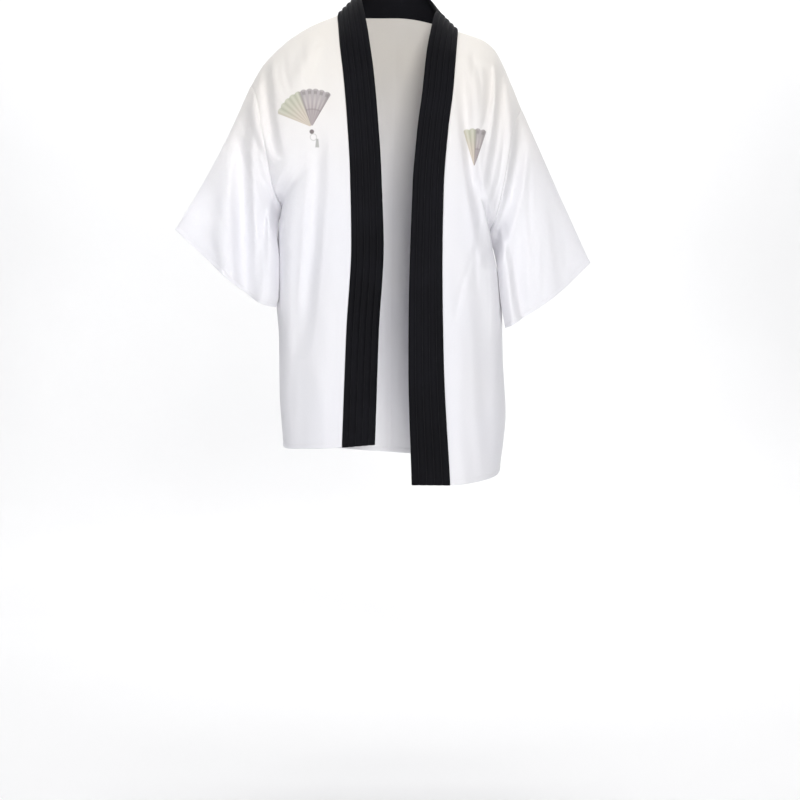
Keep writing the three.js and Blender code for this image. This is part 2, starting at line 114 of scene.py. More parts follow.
# The outer edge of the body: the armhole down to ARMPIT, and the side seam below it.
SIDE_EDGE = columns("at rightX rightZ leftX leftZ frontY backY", [
    (0.0, -284, -118, 243, -164, 5, 5),
    (0.05, -271, -139, 230, -185, -36, 44),
    (0.12, -259, -192, 217, -240, -57, 63),
    (0.2, -249, -256, 205, -308, -61, 67),
    (0.28, -237, -321, 191, -374, -42, 50),
    (ARMPIT, -224, -362, 177, -418, 5, 5),
    (0.36, -228, -377, 182, -431, 5, 5),
    (0.42, -234, -421, 190, -469, 14, 14),
    (0.5, -238, -480, 202, -520, 28, 28),
    (0.6, -238, -546, 208, -585, 28, 28),
    (0.7, -233, -612, 209, -650, 18, 18),
    (0.85, -232, -715, 215, -760, 8, 8),
    (1.0, -225, -825, 204, -869, 5, 5),
])

# The shoulder seam, from the neck out to the sleeve.
SHOULDER_SEAM = columns("at rightX rightZ leftX leftZ y", [
    (0.0, -114, 16, 118, -15, 8),
    (0.24, -163, -3, 166, -31, 9),
    (0.38, -190, -18, 189, -49, 9),
    (0.52, -217, -37, 204, -74, 9),
    (0.78, -260, -79, 225, -121, 7),
    (1.0, -284, -118, 243, -164, 5),
])

# The middle of the back, from the nape down to the hem.
CENTRE_BACK = columns("at x y z", [
    (0.0, 0, 76, 20),
    (0.06, -1, 97, -28),
    (0.12, -2, 112, -80),
    (0.19, -4, 123, -142),
    (0.28, -6, 129, -222),
    (0.4, -9, 128, -330),
    (0.6, -12, 120, -506),
    (0.8, -13, 117, -680),
    (1.0, -12, 121, -852),
])

# Where each row of cloth heads at its two ends, in degrees.
ROW_TURN = columns("at inner outer", [
    (0.0, 0, 0),
    (0.06, 0, 24),
    (0.14, 4, 47),
    (0.24, 7, 68),
    (ARMPIT, 9, 84),
    (0.46, 9, 90),
    (1.0, 8, 90),
])
# The length of a row's handles as a share of its reach, and the greatest share of its depth
# that the outer one takes up.
ROW_HANDLE = 0.41
ROW_DEPTH = 0.86

# Share of a panel's length over which its top edge lifts the rows under it.
TOP_REACH = 0.2
# From the share LIFT_DEPTH of the back's length down, that lift is evened out over the share
# LIFT_BLUR of the half back, but not beside the armhole, from LIFT_SIDE out.
LIFT_DEPTH = 0.09
LIFT_BLUR = 0.16
LIFT_SIDE = 0.72

# The cuff's edge, from the outer fold of the sleeve round to its underarm seam.
CUFF = columns("at rightX rightZ leftX leftZ frontY backY", [
    (0.0, -434, -397, 379, -462, 2, 2),
    (0.25, -375, -448, 330, -506, -30, 40),
    (0.55, -313, -502, 277, -545, -52, 60),
    (0.8, -268, -534, 237, -570, -56, 62),
    (1.0, -236, -546, 212, -586, 8, 8),
])
# Under the arm the sleeve's edge keeps clear of the body by the ease, laps over its side
# further down, and swings to the front. The sleeve's outer fold sags in its middle.
UNDERARM_EASE = {"right": 6, "left": 8.5}
UNDERARM_LAP = {"right": 4, "left": 0}
UNDERARM_SWING = 46
FOLD_SAG = {"right": 8, "left": 1}

# The collar strip: the way it leaves its seam, its width, and how far its free edge swings
# back, in degrees.
COLLAR_STRIP = columns("at inward back up width rightTurn leftTurn", [
    (0.0, 0.73, -0.12, 0.68, 57, 0, 0),
    (0.06, 0.86, -0.22, 0.46, 57, 0, 0),
    (0.12, 0.95, -0.2, 0.24, 58, 0, 0),
    (0.2, 0.99, -0.12, 0.08, 58, 0, 0),
    (0.4, 1.0, -0.05, 0.0, 59, 2, 0),
    (0.7, 1.0, -0.03, 0.0, 66, 24, 2),
    (1.0, 1.0, -0.02, 0.0, 74, 34, 4),
])
NAPE_BACK, NAPE_UP, NAPE_WIDTH = -0.24, 0.97, 58

# Folds of the front and of the back: each is a line in the front view, bowed sideways in its
# middle, with its half width and how far it rises out of the cloth (less than 0: sinks in).
FOLD = "fromX fromZ toX toZ bow half rise"
FRONT_FOLDS = columns(FOLD, [
    (-300, -120, -288, -620, 4, 26, -22),
    (-338, -210, -338, -560, -6, 32, 11),
    (-252, -70, -226, -262, 5, 17, -14),
    (-281, -120, -234, -270, 9, 16, 10),
    (-266, -262, -222, -400, 3, 18, -9),
    (-150, -30, -186, -132, 4, 24, 9),
    (-146, -205, -184, -640, -6, 22, -13),
    (-196, -330, -214, -720, 4, 20, 7),
    (-128, -420, -140, -900, 6, 28, 5),
    (122, -104, 178, -470, 8, 18, -15),
    (238, -150, 174, -470, -17, 22, -21),
    (172, -84, 160, -236, -8, 14, -11),
    (199, -84, 170, -330, -6, 14, -12),
    (124, -60, 148, -200, -10, 16, 8),
    (213, -96, 193, -390, -13, 16, 11),
    (150, -430, 168, -760, -5, 26, -7),
    (118, -520, 128, -960, 5, 26, 5),
    (232, -360, 246, -640, 4, 22, -9),
    (286, -300, 304, -600, -5, 32, 6),
])
BACK_FOLDS = columns(FOLD, [
    (-238, -150, -168, -420, 14, 26, -6),
    (214, -190, 140, -450, -12, 26, -6),
    (-120, -60, -104, -330, 6, 30, 6),
    (-60, -250, -74, -700, -6, 34, -8),
    (40, -330, 54, -900, 8, 40, 7),
    (104, -420, 122, -930, -7, 30, -8),
    (-148, -470, -156, -900, 7, 32, 7),
    (-300, -150, -284, -620, -6, 30, -13),
    (-346, -240, -344, -560, 6, 30, 7),
    (262, -220, 254, -640, 6, 28, -12),
    (308, -320, 322, -600, -5, 30, 6),
])
# Where the front turns into the back. Folds fade in between the two distances of FOLD_EDGE
# from there, and the shoulder is rounded by a rise that is greatest at SHOULDER_REACH.
SIDE_Y = 5
FOLD_EDGE = (7, 44)
SHOULDER_ROUND = 2.4
SHOULDER_REACH = 12
# A fold's height along its line is a half wave raised to this power, which makes it fuller.
FOLD_FULLNESS = 0.6

# Finer creases on top of those: narrow, shallow, and each a little different.
FRONT_CREASES = columns(FOLD, [
    # Right sleeve and shoulder.
    (-322, -172, -262, -330, 9, 9, -2.6),
    (-312, -148, -250, -300, 12, 8, 2.2),
    (-276, -200, -262, -470, 5, 10, 2.8),
    (-262, -300, -254, -540, -5, 8, -3.2),
    (-392, -350, -330, -470, -8, 16, 2.4),
    (-366, -280, -318, -420, 7, 12, -2.2),
    (-318, -360, -306, -560, 4, 10, 2.6),
    (-350, -400, -352, -520, -3, 10, -2.0),
    (-238, -60, -210, -170, 7, 11, 2.4),
    (-214, -52, -196, -150, 5, 9, -2.0),
    (-262, -240, -232, -332, 6, 7, 2.8),
    (-250, -318, -214, -420, -4, 8, -3.4),
    (-236, -300, -196, -452, 10, 9, 2.6),
    # Right front.
    (-180, -30, -168, -112, 3, 10, -1.8),
    (-136, -60, -132, -210, 5, 18, -0.9),
    (-124, -240, -120, -500, -4, 16, 1.0),
    (-168, -300, -190, -560, 5, 13, 1.2),
    (-206, -400, -196, -640, -5, 15, -1.3),
    (-156, -560, -162, -860, 4, 21, 1.3),
    (-180, -620, -190, -880, -4, 18, -1.4),
    (-120, -640, -128, -880, 3, 13, -1.0),
    (-212, -640, -206, -850, 3, 13, 1.1),
    # Left shoulder, chest and armhole.
    (120, -58, 208, -90, -4, 24, 5.5),
    (150, -40, 142, -150, 4, 8, -2.2),
    (184, -62, 180, -190, -4, 7, 3.0),
    (184, -150, 150, -330, 8, 8, 2.8),
    (206, -170, 168, -380, -8, 8, -3.6),
    (218, -200, 180, -400, -9, 6, 2.6),
    (226, -240, 184, -430, -6, 7, -2.8),
    (140, -190, 152, -330, 4, 9, 2.2),
    (118, -210, 126, -400, -3, 12, -1.0),
    (160, -350, 152, -520, 5, 9, -2.6),
    (176, -430, 184, -600, -5, 10, 2.4),
    # Left front and sleeve.
    (150, -425, 106, -580, 4, 9, -2.2),
    (118, -440, 116, -700, 3, 15, -1.0),
    (140, -560, 146, -840, -4, 18, 1.3),
    (172, -640, 182, -900, 4, 18, -1.4),
    (194, -560, 196, -760, -3, 13, 1.1),
    (258, -250, 262, -430, 6, 10, -2.4),
    (272, -400, 268, -580, -4, 10, 2.4),
    (300, -330, 322, -520, 5, 14, -2.0),
    (218, -420, 226, -600, 3, 8, 2.4),
    (340, -400, 330, -520, -4, 12, 1.8),
])
BACK_CREASES = columns(FOLD, [
    (-212, -110, -150, -270, 8, 12, -4.8),
    (-228, -220, -180, -380, 9, 10, 4.5),
    (-236, -300, -150, -400, 8, 10, -5.4),
    (-216, -360, -130, -430, 6, 11, 3.4),
    (196, -150, 130, -320, -8, 12, -4.2),
    (204, -270, 150, -400, -8, 10, 5.7),
    (190, -360, 110, -470, -8, 10, -4.2),
    (-94, -90, -60, -260, 5, 14, -2.9),
    (84, -90, 66, -300, -5, 14, 2.5),
    (-20, -80, -16, -330, 4, 16, 2.1),
    (-30, -420, -38, -760, 5, 15, 4.7),
    (10, -360, 6, -640, -4, 13, -3.5),
    (74, -500, 84, -880, 5, 14, 4.1),
    (-110, -430, -116, -800, -5, 14, -3.9),
    (150, -500, 160, -800, 5, 13, 4.7),
    (-186, -480, -196, -800, 4, 12, -3.8),
    (-8, -640, -10, -900, 4, 12, 3.3),
    (-272, -220, -262, -520, 5, 10, 3.6),
    (-320, -230, -312, -500, -5, 11, -3.4),
    (-380, -360, -350, -480, 5, 14, 2.6),
    (240, -260, 232, -560, 4, 10, -3.9),
    (286, -300, 284, -560, -5, 11, 2.9),
    (336, -400, 322, -530, 4, 13, -2.3),
])

SIGN = {"right": -1, "left": 1}


def smooth(x, low, high):
    """0 up to low and 1 from high on, eased between them."""
    t = np.clip((np.asarray(x, dtype=float) - low) / (high - low), 0, 1)
    return t * t * (3 - 2 * t)


def mix(a, b, t):
    """The share t of the way from a to b."""
    return a + (b - a) * t


def read(table, column, at):
    """A smooth curve through one column, read at places between its rows. It never runs past
    the rows it lies between."""
    x, y = table["at"], table[column]
    rise = np.diff(y) / np.diff(x)
    slope = np.concatenate([rise[:1], np.zeros(len(rise) - 1), rise[-1:]])
    before, after = rise[:-1], rise[1:]
    same = before * after > 0
    total = np.where(same, before + after, 1)
    slope[1:-1] = np.where(same, 2 * before * after / total, 0)
    at = np.asarray(at, dtype=float)
    i = np.clip(np.searchsorted(x, at, side="left") - 1, 0, len(rise) - 1)
    span = x[i + 1] - x[i]
    t = np.clip((at - x[i]) / span, 0, 1)
    t2, t3 = t * t, t * t * t
    return (
        (2 * t3 - 3 * t2 + 1) * y[i]
        + (t3 - 2 * t2 + t) * span * slope[i]
        + (3 * t2 - 2 * t3) * y[i + 1]
        + (t3 - t2) * span * slope[i + 1]
    )


def read_point(table, side, at, depth="y"):
    """Points from a table's columns for one side of the garment."""
    names = (side + "X", depth, side + "Z")
    return np.stack([read(table, name, at) for name in names], -1)


def row_point(inner, outer, at, a, way_back):
    """A place on each row of cloth, a cubic curve between its inner and outer ends."""
    out = np.sign(outer[..., 0] - inner[..., 0])
    reach = ROW_HANDLE * np.linalg.norm(outer - inner, axis=-1)
    turn = {name: np.radians(read(ROW_TURN, name, at)) for name in ("inner", "outer")}
    depth = np.abs(outer[..., 1] - inner[..., 1])
    deepest = ROW_DEPTH * depth / np.maximum(0.01, np.sin(turn["outer"]))
    outer_reach = mix(reach, np.minimum(reach, deepest), smooth(at, 0.08, 0.3))

    def heading(name):
        return np.stack([out * np.cos(turn[name]), way_back * np.sin(turn[name]), 0 * out], -1)

    fall = (outer[..., 2] - inner[..., 2]) / 3
    first = inner + heading("inner") * reach[..., None]
    second = outer - heading("outer") * outer_reach[..., None]
    first[..., 2] = inner[..., 2] + fall
    second[..., 2] = outer[..., 2] - fall
    t = np.asarray(a, dtype=float)[..., None]
    u = 1 - t
    return u**3 * inner + 3 * u * u * t * first + 3 * u * t * t * second + t**3 * outer


def top_share(at):
    """How much of its lift the top edge gives to each row."""
    return (1 - smooth(at, 0, TOP_REACH))[..., None]


def front_point(side, a, at):
    """A place on the front: a is its share of the row, out from the collar."""
    def row(level):
        inner = read_point(COLLAR_SEAM, side, level)
        outer = read_point(SIDE_EDGE, side, level, "frontY")
        return row_point(inner, outer, level, a, 1)

    lift = read_point(SHOULDER_SEAM, side, a) - row(np.zeros_like(at))
    return row(at) + lift * top_share(at)


def neck_point(side, b):
    """The neck's edge of the back, from the shoulder seam (0) round to the nape (1)."""
    shoulder = [COLLAR_SEAM[name][0] for name in (side + "X", "y", side + "Z")]
    nape = [CENTRE_BACK[name][0] for name in "xyz"]
    turn = b * math.pi / 2
    return np.stack([
        mix(nape[0], shoulder[0], np.cos(turn)),
        mix(shoulder[1], nape[1], np.sin(turn)),
        mix(shoulder[2], nape[2], smooth(b, 0, 1)),
    ], -1)


def back_row(side, a, at):
    """A place on the back before its top edge lifts it: a is its share out from the centre."""
    inner = np.stack([read(CENTRE_BACK, name, at) for name in "xyz"], -1)
    outer = read_point(SIDE_EDGE, side, at, "backY")
    return row_point(inner, outer, at, a, -1)


def back_lift(side, a):
    """How far the back's top edge, at the neck and the shoulder, lies above its first row."""
    neck = neck_point(side, np.clip(1 - a / NECK_SHARE, 0, 1))
    shoulder = read_point(SHOULDER_SEAM, side, np.clip((a - NECK_SHARE) / (1 - NECK_SHARE), 0, 1))
    top = np.where((a < NECK_SHARE)[..., None], neck, shoulder)
    return top - back_row(side, a, np.zeros_like(a))


def sleeve_point(side, layer, q, w):
    """A place on the front or back layer of the sleeve: q runs from its outer fold to its
    underarm seam, and w from the armhole to the cuff."""
    start = read_point(SIDE_EDGE, side, q * ARMPIT, layer + "Y")
    end = read_point(CUFF, side, q, layer + "Y")
    p = mix(start, end, w[..., None])
    by_body = smooth(w, 0, 0.1) * (1 - smooth(w, 0.15, 0.8))
    ease = UNDERARM_EASE[side] * by_body * smooth(q, 0.6, 1)
    sag = FOLD_SAG[side] * np.sin(math.pi * w) * (1 - smooth(q, 0, 0.3))
    lap = UNDERARM_LAP[side] * smooth(w, 0.22, 0.5) * (1 - smooth(w, 0.9, 1)) * smooth(q, 0.7, 1)
    p[..., 0] += SIGN[side] * (ease - sag - lap)
    p[..., 1] -= UNDERARM_SWING * smooth(q, 0.72, 1) * smooth(w, 0, 0.35)
    return p


def collar_point(side, at, b, c):
    """A place on the collar: at is the station down the front, b the one round the neck, and
    c the share of its width from the seam."""
    nape = smooth(b, 0, 1)
    turn = np.radians(read(COLLAR_STRIP, side + "Turn", at))
    inward = read(COLLAR_STRIP, "inward", at) * (1 - nape)
    way = np.stack([
        -SIGN[side] * inward * np.cos(turn),
        mix(read(COLLAR_STRIP, "back", at) + inward * np.sin(turn), NAPE_BACK, nape),
        mix(read(COLLAR_STRIP, "up", at), NAPE_UP, nape),
    ], -1)
    way /= np.linalg.norm(way, axis=-1, keepdims=True)
    seam = np.where((b > 0)[..., None], neck_point(side, b), read_point(COLLAR_SEAM, side, at))
    width = mix(read(COLLAR_STRIP, "width", at), NAPE_WIDTH, nape)
    return crumple(seam) + way * (c * width)[..., None]


def fold_rise(p, table):
    """How far the folds of a table raise each point."""
    rise = np.zeros(p.shape[:-1])
    for fold in rows_of(table):
        start = np.array([fold["fromX"], fold["fromZ"]])
        end = np.array([fold["toX"], fold["toZ"]])
        length = np.linalg.norm(end - start)
        along = (end - start) / length
        from_start = p[..., [0, 2]] - start
        t = (from_start @ along) / length
        s = np.clip(t, 0, 1)
        bowed = 4 * fold["bow"] * s * (1 - s)
        aside = (from_start @ np.array([along[1], -along[0]]) - bowed) / fold["half"]
        near = (t > 0) & (t < 1) & (np.abs(aside) < 1)
        section = (1 - np.clip(aside, -1, 1) ** 2) ** 2
        height = fold["rise"] * section * np.sin(math.pi * s) ** FOLD_FULLNESS
        rise += np.where(near, height, 0)
    return rise


# Soft unevenness of hanging cloth: waves across the width, each with a length, a slant and a
# start of its own.
RIPPLE_RISE = 0.9
RIPPLE_COUNT = 7
RIPPLES = [
    (rng.uniform(40, 130), rng.uniform(-0.35, 0.35), rng.uniform(0, 2 * math.pi))
    for _ in range(RIPPLE_COUNT)
]


def ripple(p):
    """How far the waves together raise each point."""
    total = 0
    for span, slant, start in RIPPLES:
        total = total + np.sin(2 * math.pi * (p[..., 0] + slant * p[..., 2]) / span + start)
    return RIPPLE_RISE * total / math.sqrt(RIPPLE_COUNT)


def crumple(p):
    """Moves points by the folds that cross them, and rounds the top of the shoulder. A place
    shared by two pieces moves alike in both, so that their seam stays shut."""
    out = p.copy()
    near = np.abs(p[..., 1] - SIDE_Y) / SHOULDER_REACH
    out[..., 2] += SHOULDER_ROUND * near * np.exp(1 - near)
    for way, folds, creases in ((-1, FRONT_FOLDS, FRONT_CREASES), (1, BACK_FOLDS, BACK_CREASES)):
        depth = way * (p[..., 1] - SIDE_Y)
        rise = fold_rise(p, folds) + fold_rise(p, creases) + ripple(p)
        out[..., 1] += np.where(depth > 0, way * rise * smooth(depth, *FOLD_EDGE), 0)
    return out


def spaced(count, length, steps):
    """Shares of a length, evenly set, with closer ones at given distances from both ends."""
    even = np.linspace(0, 1, count + 1)
    near = np.array(steps) / length
    clear = near[-1] * 1.3
    kept = even[(even > clear) & (even < 1 - clear)]
    return np.unique(np.concatenate([[0, 1], near, 1 - near, kept]))


# Distances from a hem and from a seam at which a grid has lines of its own, and about how long
# the edges are that the grids divide.
HEM_STEPS = (1.2, 2.6, 4.4, 6.4, 8.2, 9.0, 9.8, 12.0)
SEAM_STEPS = (1.4, 3.0, 5.2)
ARMHOLE_LENGTH = 300
SIDE_LENGTH = 510
FRONT_WIDTH = 200
NECK_LENGTH = 118
SLEEVE_LENGTH = 300

ARMHOLE_SHARES = spaced(64, ARMHOLE_LENGTH, SEAM_STEPS) * ARMPIT
SIDE_SHARES = mix(ARMPIT, 1, spaced(104, SIDE_LENGTH, HEM_STEPS))
ROW_SHARES = np.concatenate([ARMHOLE_SHARES, SIDE_SHARES[1:]])
FRONT_SHARES = spaced(60, FRONT_WIDTH, SEAM_STEPS)
NECK_SHARES = spaced(24, NECK_LENGTH, SEAM_STEPS)
SLEEVE_SHARES = np.unique(np.concatenate([
    np.array((0,) + SEAM_STEPS) / SLEEVE_LENGTH,
    np.linspace(0.025, 0.955, 56),
    1 - np.array((0,) + HEM_STEPS) / SLEEVE_LENGTH,
]))


def front_grid(side):
    """Points of a front: rows from the shoulder to the hem, columns out from the collar."""
    at, a = np.meshgrid(ROW_SHARES, FRONT_SHARES, indexing="ij")
    return crumple(front_point(side, a, at))


def back_shares():
    """Shares out from the centre for half of the back."""
    neck = 1 - NECK_SHARES[::-1]
    return np.concatenate([NECK_SHARE * neck, mix(NECK_SHARE, 1, FRONT_SHARES[1:])])


def both_halves(right, left):
    """Two arrays that run out from the centre, as one that runs from right to left."""
    return np.concatenate([right[..., ::-1, :], left[..., 1:, :]], axis=-2)


def back_grid():
    """Points of the back: rows from the top to the hem, columns from right to left."""
    half = back_shares()
    at, a = np.meshgrid(ROW_SHARES, half, indexing="ij")
    rows = both_halves(back_row("right", a, at), back_row("left", a, at))
    lift = both_halves(back_lift("right", half), back_lift("left", half))
    # Below the edge itself the lift is evened out, so that the neck's corners leave no crease.
    across = np.concatenate([-half[::-1], half[1:]])
    near = np.exp(-(((across[:, None] - across[None]) / LIFT_BLUR) ** 2)) * np.gradient(across)
    even = near @ lift / near.sum(1, keepdims=True)
    at = ROW_SHARES[:, None, None]
    inside = 1 - smooth(np.abs(across), LIFT_SIDE, 1)
    share = smooth(at, 0, LIFT_DEPTH) * inside[None, :, None]
    return crumple(rows + mix(lift[None], even[None], share) * (1 - smooth(at, 0, TOP_REACH)))


# The sleeve's outer fold is rounded: how many times the columns by it are evened out, and how
# many columns away from it that starts and stops to fade.
FOLD_ROUNDS = 26
FOLD_COLUMNS = (7, 17)


def sleeve_grid(side):
    """Points of a sleeve: closed rows from the armhole to the cuff, from its outer fold on."""
    q = ARMHOLE_SHARES / ARMPIT
    w, q = np.meshgrid(SLEEVE_SHARES, q, indexing="ij")
    front, back = (crumple(sleeve_point(side, layer, q, w)) for layer in ("front", "back"))
    return round_fold(np.concatenate([front, back[:, -2:0:-1]], axis=1))


def round_fold(ring):
    """Rounds the sleeve's outer fold, which is the first column of its closed rows."""
    even = ring
    for _ in range(FOLD_ROUNDS):
        even = (np.roll(even, 1, axis=1) + 2 * even + np.roll(even, -1, axis=1)) / 4
    count = ring.shape[1]
    away = np.minimum(np.arange(count), count - np.arange(count))
    near = (1 - smooth(away, *FOLD_COLUMNS))[None, :, None]
    even = even + (ring[:, :1] - even[:, :1]) * near
    return mix(ring, even, near * smooth(SLEEVE_SHARES, 0, 0.12)[:, None, None])


CHANNEL_STEPS = 8
COLLAR_SHARES = np.linspace(0, 1, COLLAR_CHANNELS * CHANNEL_STEPS + 1)


def collar_grid():
    """Points of the collar: rows from the right hem round the neck to the left hem, columns
    from its seam to its free edge."""
    round_neck = NECK_SHARES[1:]
    stations = np.concatenate([ROW_SHARES[::-1], np.zeros_like(round_neck)])
    turns = np.concatenate([np.zeros_like(ROW_SHARES), round_neck])
    at, c = np.meshgrid(stations, COLLAR_SHARES, indexing="ij")
    b, _ = np.meshgrid(turns, COLLAR_SHARES, indexing="ij")
    right, left = (collar_point(side, at, b, c) for side in ("right", "left"))
    return np.concatenate([right, left[-2::-1]], axis=0)


def grid_normals(points, facing, closed):
    """The way out of the cloth at each point. facing is 1 or -1, for the grid's handedness."""
    down = np.gradient(points, axis=0)
    if closed:
        across = np.roll(points, -1, axis=1) - np.roll(points, 1, axis=1)
    else:
        across = np.gradient(points, axis=1)
    normals = np.cross(across, down) * facing
    return normals / np.maximum(np.linalg.norm(normals, axis=-1, keepdims=True), 1e-9)


def lengths_along(points, axis):
    """Distance along a grid's lines from their first point."""
    step = np.linalg.norm(np.diff(points, axis=axis), axis=-1)
    first = np.zeros_like(np.take(step, [0], axis=axis))
    return np.concatenate([first, np.cumsum(step, axis=axis)], axis=axis)


def edge_distances(points, closed):
    """Distance of each point from the grid's first and last rows and columns."""
    down = lengths_along(points, 0)
    across = lengths_along(points, 1)
    found = {"top": down, "bottom": down[-1:] - down}
    if not closed:
        found["start"] = across
        found["end"] = across[:, -1:] - across
    return found


def put_in_scene(name, data):
    """A new object in the scene: a mesh, a light or a camera."""
    thing = bpy.data.objects.new(name, data)
    bpy.context.scene.collection.objects.link(thing)
    return thing


class Cloth:
    """A piece of cloth as a grid of middle points, with the wall that goes round it."""

    def __init__(self, name, points, facing, seams, hems=(), closed=False, wall=CLOTH_WALL):
        self.name, self.points, self.closed, self.wall = name, points, closed, wall
        self.normals = grid_normals(points, facing, closed)
        distances = edge_distances(points, closed)
        self.from_hem = np.min([distances[h] for h in hems], axis=0) if hems else None
        self.from_seam = np.min([distances[s] for s in seams], axis=0)
        self.outer = np.full(points.shape[:2], wall / 2)
        self.inner = np.full(points.shape[:2], wall / 2)
        self.outer -= SEAM_DIP * (1 - smooth(self.from_seam, 0, SEAM_REACH))
        if self.from_hem is not None:
            doubled = 1 - smooth(self.from_hem, *HEM_END)
            sewn = np.exp(-(((self.from_hem - HEM_SEWN) / HEM_SEWN_HALF) ** 2))
            rounded = 1 - smooth(self.from_hem, 0, HEM_ROUND_REACH)
            self.outer += HEM_RISE * doubled - HEM_SEWN_DIP * sewn - HEM_ROUND * rounded
            self.inner += HEM_RISE_INSIDE * doubled - HEM_ROUND * rounded
        self.stitched = []

    def stitch(self, line):
        """Stitches one line of the grid's outer face, given by its index."""
        face = self.points[line] + self.normals[line] * self.outer[line][:, None]
        self.stitched.append((face, self.normals[line]))


def join_seams(cloths):
    """Where pieces meet, their edges share one offset direction."""
    ends = []
    for cloth in cloths:
        edge = np.zeros(cloth.points.shape[:2], dtype=bool)
        edge[[0, -1]] = True
        if not cloth.closed:
            edge[:, [0, -1]] = True
        ends += [(cloth, i, j) for i, j in zip(*np.nonzero(edge))]
    tree = KDTree(len(ends))
    for k, (cloth, i, j) in enumerate(ends):
        tree.insert(cloth.points[i, j], k)
    tree.balance()
    own = [cloth.normals[i, j].copy() for cloth, i, j in ends]
    for cloth, i, j in ends:
        near = [k for _, k, _ in tree.find_range(cloth.points[i, j], SAME_PLACE)]
        shared = sum(own[k] for k in near)
        shared /= max(np.linalg.norm(shared), 1e-9)
        agree = np.mean([own[k] @ shared for k in near])
        cloth.normals[i, j] = shared / max(MITRE_LEAST, agree)


# A stitch's rings along its length: where each lies and its share of the stitch's radius.
STITCH_RINGS = ((-0.5, 0.35), (-0.3, 1.0), (0.3, 1.0), (0.5, 0.35))
STITCH_SIDES = 6


def stitches(path, up):
    """Small closed shells along a line on the cloth: vertices, and faces of four corners."""
    along = lengths_along(path[:, None], 0)[:, 0]
    middles = np.arange(STITCH_PITCH, along[-1] - STITCH_PITCH / 2, STITCH_PITCH)

    def place(at, values):
        return np.stack([np.interp(at, along, values[:, k]) for k in range(3)], -1)

    middle, rise = place(middles, path), place(middles, up)
    heading = place(middles + 1, path) - place(middles - 1, path)
    heading /= np.linalg.norm(heading, axis=-1, keepdims=True)
    aside = np.cross(heading, rise)
    aside /= np.linalg.norm(aside, axis=-1, keepdims=True)
    rise = np.cross(aside, heading)
    turns = 2 * math.pi * np.arange(STITCH_SIDES) / STITCH_SIDES
    cosine, sine = np.cos(turns)[:, None], np.sin(turns)[:, None]
    spokes = cosine * aside[:, None] + sine * rise[:, None]
    rings = []
    for share, girth in STITCH_RINGS:
        centre = middle + heading * share * STITCH_LENGTH + rise * 0.4 * STITCH_RADIUS * girth
        rings.append(centre[:, None] + spokes * girth * STITCH_RADIUS)
    vertices = np.stack(rings, 1).reshape(-1, 3)
    corner = np.arange(STITCH_SIDES)
    after = (corner + 1) % STITCH_SIDES
    side = np.stack([corner, after, after + STITCH_SIDES, corner + STITCH_SIDES], -1)
    last = STITCH_SIDES * (len(STITCH_RINGS) - 1)
    faces = [side + STITCH_SIDES * ring for ring in range(len(STITCH_RINGS) - 1)]
    faces.append(np.array([[3, 2, 1, 0], [5, 4, 3, 0]]))
    faces.append(np.array([[0, 1, 2, 3], [0, 3, 4, 5]]) + last)
    shift = np.arange(len(middles)) * STITCH_SIDES * len(STITCH_RINGS)
    return vertices, (np.concatenate(faces)[None] + shift[:, None, None]).reshape(-1, 4)


